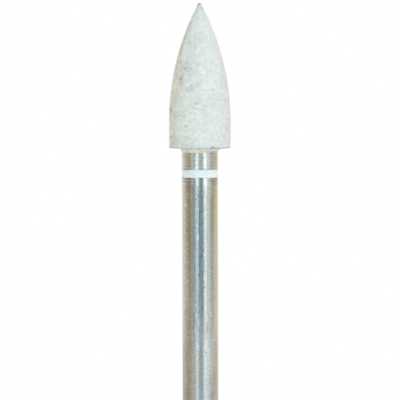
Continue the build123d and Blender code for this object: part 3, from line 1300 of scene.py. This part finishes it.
@dataclass
class Shank:
    """The ground shank with its turned neck, enamel groove and hidden pin."""

    reach: Extent = field(default_factory=lambda: Extent.of("shank"))
    groove: Groove = field(default_factory=Groove)
    seat: float = field(default_factory=lambda: Extent.of("abrasive_head").low - BOND_GAP)
    pin: Pin = field(default_factory=Pin)
    finish: GroundSteel = GroundSteel()
    butt_chamfer: float = 0.3
    turned_length: float = 0.35
    turning_pitch: float = 0.2
    turning_depth: float = 0.004
    # The tool's lines wander by this share of their pitch, over this width
    wander: float = 0.4
    wander_size: float = 0.5
    whole_lines: Patches = Patches(0.25, 8.1, -0.5, 0.6, (0.5, 0.5, 1))
    # They deepen from half to whole between these heights above the ring, and further below it
    lines_deepen: Span = (0.8, 0.3)
    deeper_below: float = 0.6
    burr_width: float = 0.08
    whole_burr: Patches = Patches(0.6, 3.3, -0.2, 0.35, (1, 1, 0.2))
    segments: int = 216
    spacing: float = 0.018

    def outline(self) -> list[Point]:
        """Works out the section.

        Returns:
            Points of (radius, height) from the pin's end down the outside to the butt end.
        """
        bar = self.reach.radius
        turned_low = self.groove.low - self.turned_length
        return [
            (0, self.pin.top),
            *self.pin.outline(),
            *run((self.pin.radius, self.seat), (bar, self.seat), spacing=0.2)[1:],
            *run((bar, self.seat), (bar, self.groove.high), self.spacing),
            (bar, self.groove.high),
            *self.groove.floor(),
            *run((bar, self.groove.low), (bar, turned_low), self.spacing),
            *run((bar, turned_low), (bar, self.butt_chamfer), spacing=0.5),
            (bar, self.butt_chamfer),
            (bar - self.butt_chamfer, 0),
            (0, 0),
        ]

    def turned(self) -> Turned:
        """Turns the section, flutes the pin and cuts the tool's lines into the neck.

        Returns:
            The finished surface.
        """
        surface = Turned(self.outline(), self.segments, Ends.POLES)
        self.pin.flute(surface)
        points = surface.points()
        on_bar = surface.radius > self.reach.radius - 0.001
        low = self.groove.low - self.turned_length
        neck = rise(surface.height, low, low + 0.2) * on_bar * (surface.height < self.seat - 0.01)

        # The tool's lines wander and break, are faint near the head and strong below the ring
        wander = self.wander * noise_field(points * (0.3, 0.3, 1), self.wander_size, seed=4.4)
        lines = (0.5 - 0.5 * np.cos(2 * math.pi * (surface.height / self.turning_pitch + wander))) ** 2
        lines *= self.whole_lines.over(points)
        lines *= 0.5 + 0.5 * rise(surface.height, *heights(self.groove.high, self.lines_deepen))
        lines *= 1 + self.deeper_below * (surface.height < self.groove.low)

        # The burr along the groove's edges has been wiped off in places
        from_low, from_high = surface.height - self.groove.low, surface.height - self.groove.high
        edges = np.minimum(np.abs(from_low), np.abs(from_high))
        broken = 0.35 + 0.65 * self.whole_burr.over(points)
        burr = rise(edges, self.burr_width, 0.3 * self.burr_width) * broken
        surface.cut(self.turning_depth * neck * np.maximum(lines, 1.5 * burr))
        # How deep a line is cut sets the painted shade that the material lays in it
        surface.hollow = np.clip(0.6 * neck * np.maximum(lines, burr), 0, 1)
        return surface

    def build(self) -> bpy.types.Object:
        """Makes the finished piece.

        Returns:
            The mesh object, dressed and named for the frame.
        """
        piece = self.turned().mesh("steel_shank", sharp_deg=30)
        return dress(piece, self.finish.material(self.groove.high), "shank")


@dataclass
class CementBead:
    """The cement: plug and film in the bore, seat under the head and the bead on the neck."""

    reach: Extent = field(default_factory=lambda: Extent.of("adhesive"))
    base: float = field(default_factory=lambda: Extent.of("abrasive_head").low)
    bar: float = field(default_factory=lambda: Extent.of("shank").radius)
    bore: Bore = field(default_factory=Bore)
    pin: Pin = field(default_factory=Pin)
    finish: CuredCement = CuredCement()
    bead_bulge: float = 0.015
    bead_lip: float = 0.02
    bead_steps: int = 12
    # It was free to run between these heights, counted from the head's base
    free_height: Span = (-BOND_GAP, -0.12)
    lump_size: float = 0.5
    lump_height: float = 0.03
    # Across the axis: where its foot is lifted, where it is thin, and by how much
    lifted_side: Span = (0.3, 0.9)
    foot_lift: float = 0.1
    thin_side: Span = (0.4, -1.1)
    lean: float = 0.13
    segments: int = 216

    def outline(self) -> list[Point]:
        """Works out the section.

        Returns:
            Points of (radius, height) from the plug's top down the outside and back up the pin.
        """
        wall_top = (self.bore.radius, self.bore.end - self.bore.chamfer)
        top, foot = (self.reach.radius, self.base), (self.bar + self.bead_lip, self.reach.low)
        bead = []
        for step in range(self.bead_steps):
            share = step / self.bead_steps
            swell = 4 * self.bead_bulge * share * (1 - share)
            radius = top[0] + (foot[0] - top[0]) * share + swell
            height = top[1] + (foot[1] - top[1]) * share - swell
            bead.append((radius, height))
        return [
            (0, self.bore.end),
            (self.bore.radius - self.bore.chamfer, self.bore.end),
            *run(wall_top, (self.bore.radius, self.base), spacing=1.0),
            *run((self.bore.radius, self.base), top, spacing=0.1),
            *bead,
            foot,
            (self.bar, self.reach.low),
            (self.bar, self.base - BOND_GAP),
            *reversed(self.pin.outline()),
            (0, self.pin.top),
        ]

    def lumpy(self) -> Turned:
        """Turns the section and gives the bead the uneven run that it cured with.

        Returns:
            The cured surface.
        """
        surface = Turned(self.outline(), self.segments, Ends.POLES)
        self.pin.flute(surface)
        points = surface.points()
        thin, lifted = rise(points[..., 0], *self.thin_side), rise(points[..., 0], *self.lifted_side)
        on_bead = (surface.radius > self.bar - 0.001) & (surface.height < self.base + 0.001)
        free = rise(surface.height, *heights(self.base, self.free_height)) * on_bead
        lumps = noise_field(points * (1, 1, 0.4), self.lump_size, seed=6.6)
        small = noise_field(points, self.lump_size / 4, seed=0.8)
        raised = self.lump_height * (0.25 + lumps + 0.4 * small)
        surface.height += free * (np.clip(raised, 0, None) + self.foot_lift * lifted)

        # It ran thinner on the left, down to the lip at its foot
        overhang = np.clip((surface.radius - self.bar) / (self.reach.radius - self.bar), 0, 1)
        thinner = self.lean * thin + self.lump_height * (0.5 + 0.5 * small)
        surface.radius -= on_bead * overhang * thinner
        return surface

    def build(self) -> bpy.types.Object:
        """Makes the finished piece.

        Returns:
            The mesh object, dressed and named for the frame.
        """
        piece = self.lumpy().mesh("cement_bead", sharp_deg=40)
        return dress(piece, self.finish.material(), "adhesive")


@dataclass
class EnamelRing:
    """The enamel that fills the groove, shrinks a hair between its edges and spills over them."""

    groove: Groove = field(default_factory=Groove)
    finish: StovedEnamel = StovedEnamel()
    dip: float = 0.015
    film: float = 0.003
    spill: float = 0.03
    spill_size: float = 0.45
    # Shares of its half width between which it grows thin, and how thin it is at the edge
    thin_edge: Span = (0.75, 1.0)
    edge_thinness: float = 0.8
    face_steps: int = 16
    segments: int = 216

    def outline(self) -> list[Point]:
        """Works out the section.

        Returns:
            Points of (radius, height) down the outside and back up the groove's floor.
        """
        middle = (self.groove.low + self.groove.high) / 2
        half = (self.groove.high - self.groove.low) / 2
        outside = []
        for step in range(self.face_steps + 1):
            place = 1 - 2 * step / self.face_steps
            sunk = (self.dip + self.film) * (1 - place**2)
            outside.append((self.groove.bar + self.film - sunk, middle + half * place))
        return [*outside, *reversed(self.groove.floor())]

    def spilled(self) -> Turned:
        """Turns the section and makes the enamel's edges wander.

        Returns:
            The cured surface.
        """
        surface = Turned(self.outline(), self.segments, Ends.LOOP)
        middle = (self.groove.low + self.groove.high) / 2
        half = (self.groove.high - self.groove.low) / 2
        from_middle = (surface.height - middle) / half
        outer = surface.radius > self.groove.bar - self.groove.depth / 2
        flat = surface.points() * (1, 1, 0)
        fine = self.spill_size / 4
        upper = noise_field(flat, self.spill_size, seed=2.9) + 0.4 * noise_field(flat, fine, seed=5.5)
        lower = noise_field(flat, self.spill_size, seed=8.8) + 0.4 * noise_field(flat, fine, seed=1.1)
        weight = outer * np.abs(from_middle) ** 3
        surface.height += self.spill * weight * np.where(from_middle > 0, upper, lower)
        surface.hollow = outer * rise(np.abs(from_middle), *self.thin_edge) * self.edge_thinness
        return surface

    def build(self) -> bpy.types.Object:
        """Makes the finished piece.

        Returns:
            The mesh object, dressed and named for the frame.
        """
        piece = self.spilled().mesh("enamel_ring", sharp_deg=60)
        return dress(piece, self.finish.material(), "color_ring")


@dataclass(frozen=True)
class Panel:
    """A stretch of the light tent that the steel mirrors.

    Attributes:
        name: What it is.
        start: First edge, in degrees from the camera's side towards the picture's right.
        end: Last edge.
        colour: Its colour.
        level: Its brightness.
    """

    name: str
    start: float
    end: float
    colour: str
    level: float = 1.0


@dataclass(frozen=True)
class Lamp:
    """A soft lamp that faces the instrument.

    Attributes:
        name: The lamp's name.
        azimuth: Degrees from the camera's side towards the picture's right.
        elevation: Degrees above the horizon.
        level: How bright a white surface that faces it becomes, 1 being white.
        colour: The lamp's colour.
    """

    name: str
    azimuth: float
    elevation: float
    level: float
    colour: str


@dataclass
class Studio:
    """Pale floor, light tent, lamps and white background, round the upright instrument."""

    floor_radius: float = 200.0
    tent_radius: float = 300.0
    tent_height: float = 400.0
    panel_step_deg: float = 3.0
    floor_colour: str = "e9e9e6"
    floor_glow: float = 0.4
    # The fill is neutral from the front and the back, and warm from both sides
    fill_level: float = 0.89
    fill_front: str = "e4e5e7"
    fill_left: str = "f3e4c2"
    fill_right: str = "f1e2d6"
    lamp_distance: float = 400.0
    lamp_width: float = 160.0
    lamp_length: float = 280.0
    lamp_aim_height: float = 35.0
    lamps: tuple[Lamp, ...] = (
        Lamp("front_softbox", 18, 22, 0.34, "eafbff"),
        Lamp("back_softbox", 230, 22, 0.2, "fff6e6"),
    )
    panels: tuple[Panel, ...] = (
        Panel("left_far", 225, 246, "e9ebe3"),
        Panel("left_cloth", 246, 259, "cfccbd"),
        Panel("left_wall", 259, 276, "bfbcab"),
        Panel("left_dark", 276, 297, "b3af9c"),
        Panel("left_edge", 297, 306, "cbcbbd"),
        Panel("left_seam", 306, 315, "ced8d6"),
        Panel("left_gap", 315, 330, "bcc7c9"),
        Panel("left_lamp", 330, 351, "f0fffe", 1.32),
        Panel("front_opening", -9, 20, "b3c9cf"),
        Panel("right_lamp", 20, 42, "f2feff", 1.44),
        Panel("right_glow", 42, 58, "ecf6f3"),
        Panel("right_cloth", 58, 67, "dfe8e2"),
        Panel("right_seam", 67, 75, "cfd4cb"),
        Panel("right_wall", 75, 92, "c4c7be"),
        Panel("right_back", 92, 104, "cdccbe"),
        Panel("back_right", 104, 128, "d9d5c4"),
        Panel("back_corner", 128, 150, "e6dfd2"),
        Panel("back_cloth", 150, 225, "f3efe3"),
    )

    def seen(self, tree: Tree) -> Socket:
        """Tells rays that show the background, straight or mirrored, from those that light things.

        Args:
            tree: The world's node tree.

        Returns:
            The socket that is 1 for the rays that show it and 0 for the others.
        """
        path = add_node(tree, "ShaderNodeLightPath").outputs
        direct = {0: path["Is Camera Ray"], 1: path["Is Glossy Ray"]}
        direct = add_node(tree, "ShaderNodeMath", direct, operation="MAXIMUM").outputs[0]
        either = {0: direct, 1: path["Is Transmission Ray"]}
        return add_node(tree, "ShaderNodeMath", either, operation="MAXIMUM").outputs[0]

    def world(self) -> None:
        """Makes the soft fill light and the white background."""
        world = bpy.data.worlds.new("studio")
        bpy.context.scene.world = world
        world.use_nodes = True
        tree = world.node_tree
        tree.nodes.clear()
        place = add_node(tree, "ShaderNodeTexCoord").outputs["Generated"]
        x, y, _ = add_node(tree, "ShaderNodeSeparateXYZ", {0: place}).outputs

        # The warm sides fade out towards the neutral front and back
        warm = coat(tree, self.fill_left, self.fill_right, Fade(x, -1.0, 1.0))
        tint = coat(tree, self.fill_front, warm, Fade(y, -0.6, 0.2), Fade(y, 1.0, 0.2))
        fill = add_node(tree, "ShaderNodeBackground", {"Color": tint, "Strength": self.fill_level})
        white = add_node(tree, "ShaderNodeBackground", {"Color": linear("ffffff"), "Strength": 1.0})
        either = {0: self.seen(tree), 1: fill.outputs[0], 2: white.outputs[0]}
        either = add_node(tree, "ShaderNodeMixShader", either)
        add_node(tree, "ShaderNodeOutputWorld", {"Surface": either.outputs[0]})

    def floor(self) -> None:
        """Lays the pale floor, which is topped up to white where it is seen but keeps shadows."""
        bpy.ops.mesh.primitive_circle_add(vertices=96, radius=self.floor_radius * MM, fill_type="NGON")
        floor = bpy.context.object
        floor.name = "floor"
        material, tree = new_material("pale_table")
        matt = add_node(tree, "ShaderNodeBsdfDiffuse", {"Color": linear(self.floor_colour)})
        glow = add_node(tree, "ShaderNodeEmission", {"Color": linear("ffffff"), "Strength": self.floor_glow})
        lit = add_node(tree, "ShaderNodeAddShader", {0: matt.outputs[0], 1: glow.outputs[0]})
        path = add_node(tree, "ShaderNodeLightPath").outputs
        either = {0: path["Is Camera Ray"], 1: matt.outputs[0], 2: lit.outputs[0]}
        either = add_node(tree, "ShaderNodeMixShader", either)
        add_node(tree, "ShaderNodeOutputMaterial", {"Surface": either.outputs[0]})
        floor.data.materials.append(material)

    def hang(self, panel: Panel) -> None:
        """Hangs one panel of the tent, which only reflections show.

        Args:
            panel: Where it hangs, and its colour and brightness.
        """
        steps = max(2, round((panel.end - panel.start) / self.panel_step_deg))
        angles = np.radians(np.linspace(panel.start, panel.end, steps + 1))
        radius, height = self.tent_radius * MM, self.tent_height * MM
        sides = [(radius * math.sin(a), -radius * math.cos(a)) for a in angles]
        vertices = [(x, y, 0) for x, y in sides] + [(x, y, height) for x, y in sides]
        row = steps + 1
        faces = [(i, i + 1, i + 1 + row, i + row) for i in range(steps)]
        data = bpy.data.meshes.new(panel.name)
        data.from_pydata(vertices, [], faces)
        sheet = bpy.data.objects.new(panel.name, data)
        bpy.context.scene.collection.objects.link(sheet)
        material, tree = new_material(panel.name)
        glow = add_node(tree, "ShaderNodeEmission", {"Color": linear(panel.colour), "Strength": panel.level})
        add_node(tree, "ShaderNodeOutputMaterial", {"Surface": glow.outputs[0]})
        data.materials.append(material)
        sheet.visible_camera = False
        sheet.visible_diffuse = False
        sheet.visible_shadow = False
        sheet.visible_transmission = False

    def light(self, lamp: Lamp) -> None:
        """Places one lamp, which no camera or mirror sees.

        Args:
            lamp: Where it stands, and its level and colour.
        """
        distance = self.lamp_distance * MM
        a, e = math.radians(lamp.azimuth), math.radians(lamp.elevation)
        towards = Vector((math.sin(a) * math.cos(e), -math.cos(a) * math.cos(e), math.sin(e)))
        data = bpy.data.lights.new(lamp.name, "AREA")
        data.shape = "RECTANGLE"
        data.size, data.size_y = self.lamp_width * MM, self.lamp_length * MM
        # The power that gives a white surface at this distance the lamp's level
        data.energy = lamp.level * math.pi**2 * distance**2
        data.color = linear(lamp.colour)[:3]
        light = bpy.data.objects.new(lamp.name, data)
        bpy.context.scene.collection.objects.link(light)
        light.location = Vector((0, 0, self.lamp_aim_height * MM)) + towards * distance
        light.rotation_euler = towards.to_track_quat("Z", "Y").to_euler()
        light.visible_camera = False
        light.visible_glossy = False

    def build(self) -> None:
        """Makes the whole studio."""
        self.world()
        self.floor()
        for panel in self.panels:
            self.hang(panel)
        for lamp in self.lamps:
            self.light(lamp)
        log.info("studio: %d panels, %d lamps", len(self.panels), len(self.lamps))


@dataclass(frozen=True)
class Camera:
    """A long lens that looks slightly down, so that the instrument shows with no perspective.

    Attributes:
        frame_px: Side of the square picture.
        mm_per_px: Scale at the instrument.
        tip_row: Row of the picture on which the tip lies.
        axis_column: Column on which the axis lies.
        elevation_deg: How far above the horizon the camera stands.
        roll_deg: How far it is turned about its own axis, so that the instrument leans a little.
        distance: From the instrument.
        nearest: Distance of the nearest thing that it shows.
        farthest: Distance of the farthest one.
        sensor: Width of the sensor.
    """

    frame_px: int = 400
    mm_per_px: float = 0.0653
    tip_row: float = 2.5
    axis_column: float = 199.5
    elevation_deg: float = 2.5
    roll_deg: float = -0.14
    distance: float = 600.0
    nearest: float = 50.0
    farthest: float = 10000.0
    sensor: float = 36.0

    def build(self, tip_height: float) -> None:
        """Makes the camera.

        Args:
            tip_height: Height of the tip in millimetres.
        """
        middle = (self.frame_px - 1) / 2
        aim_height = tip_height - (middle - self.tip_row) * self.mm_per_px
        aside = (middle - self.axis_column) * self.mm_per_px
        tilt = math.radians(self.elevation_deg)
        data = bpy.data.cameras.new("camera")
        data.sensor_width = self.sensor
        data.lens = self.distance * self.sensor / (self.frame_px * self.mm_per_px)
        data.clip_start, data.clip_end = self.nearest * MM, self.farthest * MM
        camera = bpy.data.objects.new("camera", data)
        bpy.context.scene.collection.objects.link(camera)
        back = Vector((0, -math.cos(tilt), math.sin(tilt)))
        camera.location = (Vector((aside, 0, aim_height)) + back * self.distance) * MM
        roll = Quaternion(back, math.radians(self.roll_deg))
        camera.rotation_euler = (roll @ back.to_track_quat("Z", "Y")).to_euler()
        bpy.context.scene.camera = camera


def main() -> None:
    """Builds the instrument piece by piece, then the studio and the camera."""
    logging.basicConfig(level=logging.INFO, format="%(name)s %(message)s")
    bpy.context.scene.view_settings.view_transform = "Standard"
    head = AbrasiveHead()
    head.build()
    Shank().build()
    CementBead().build()
    EnamelRing().build()
    Studio().build()
    Camera().build(head.reach.high)


if __name__ == "__main__":
    main()
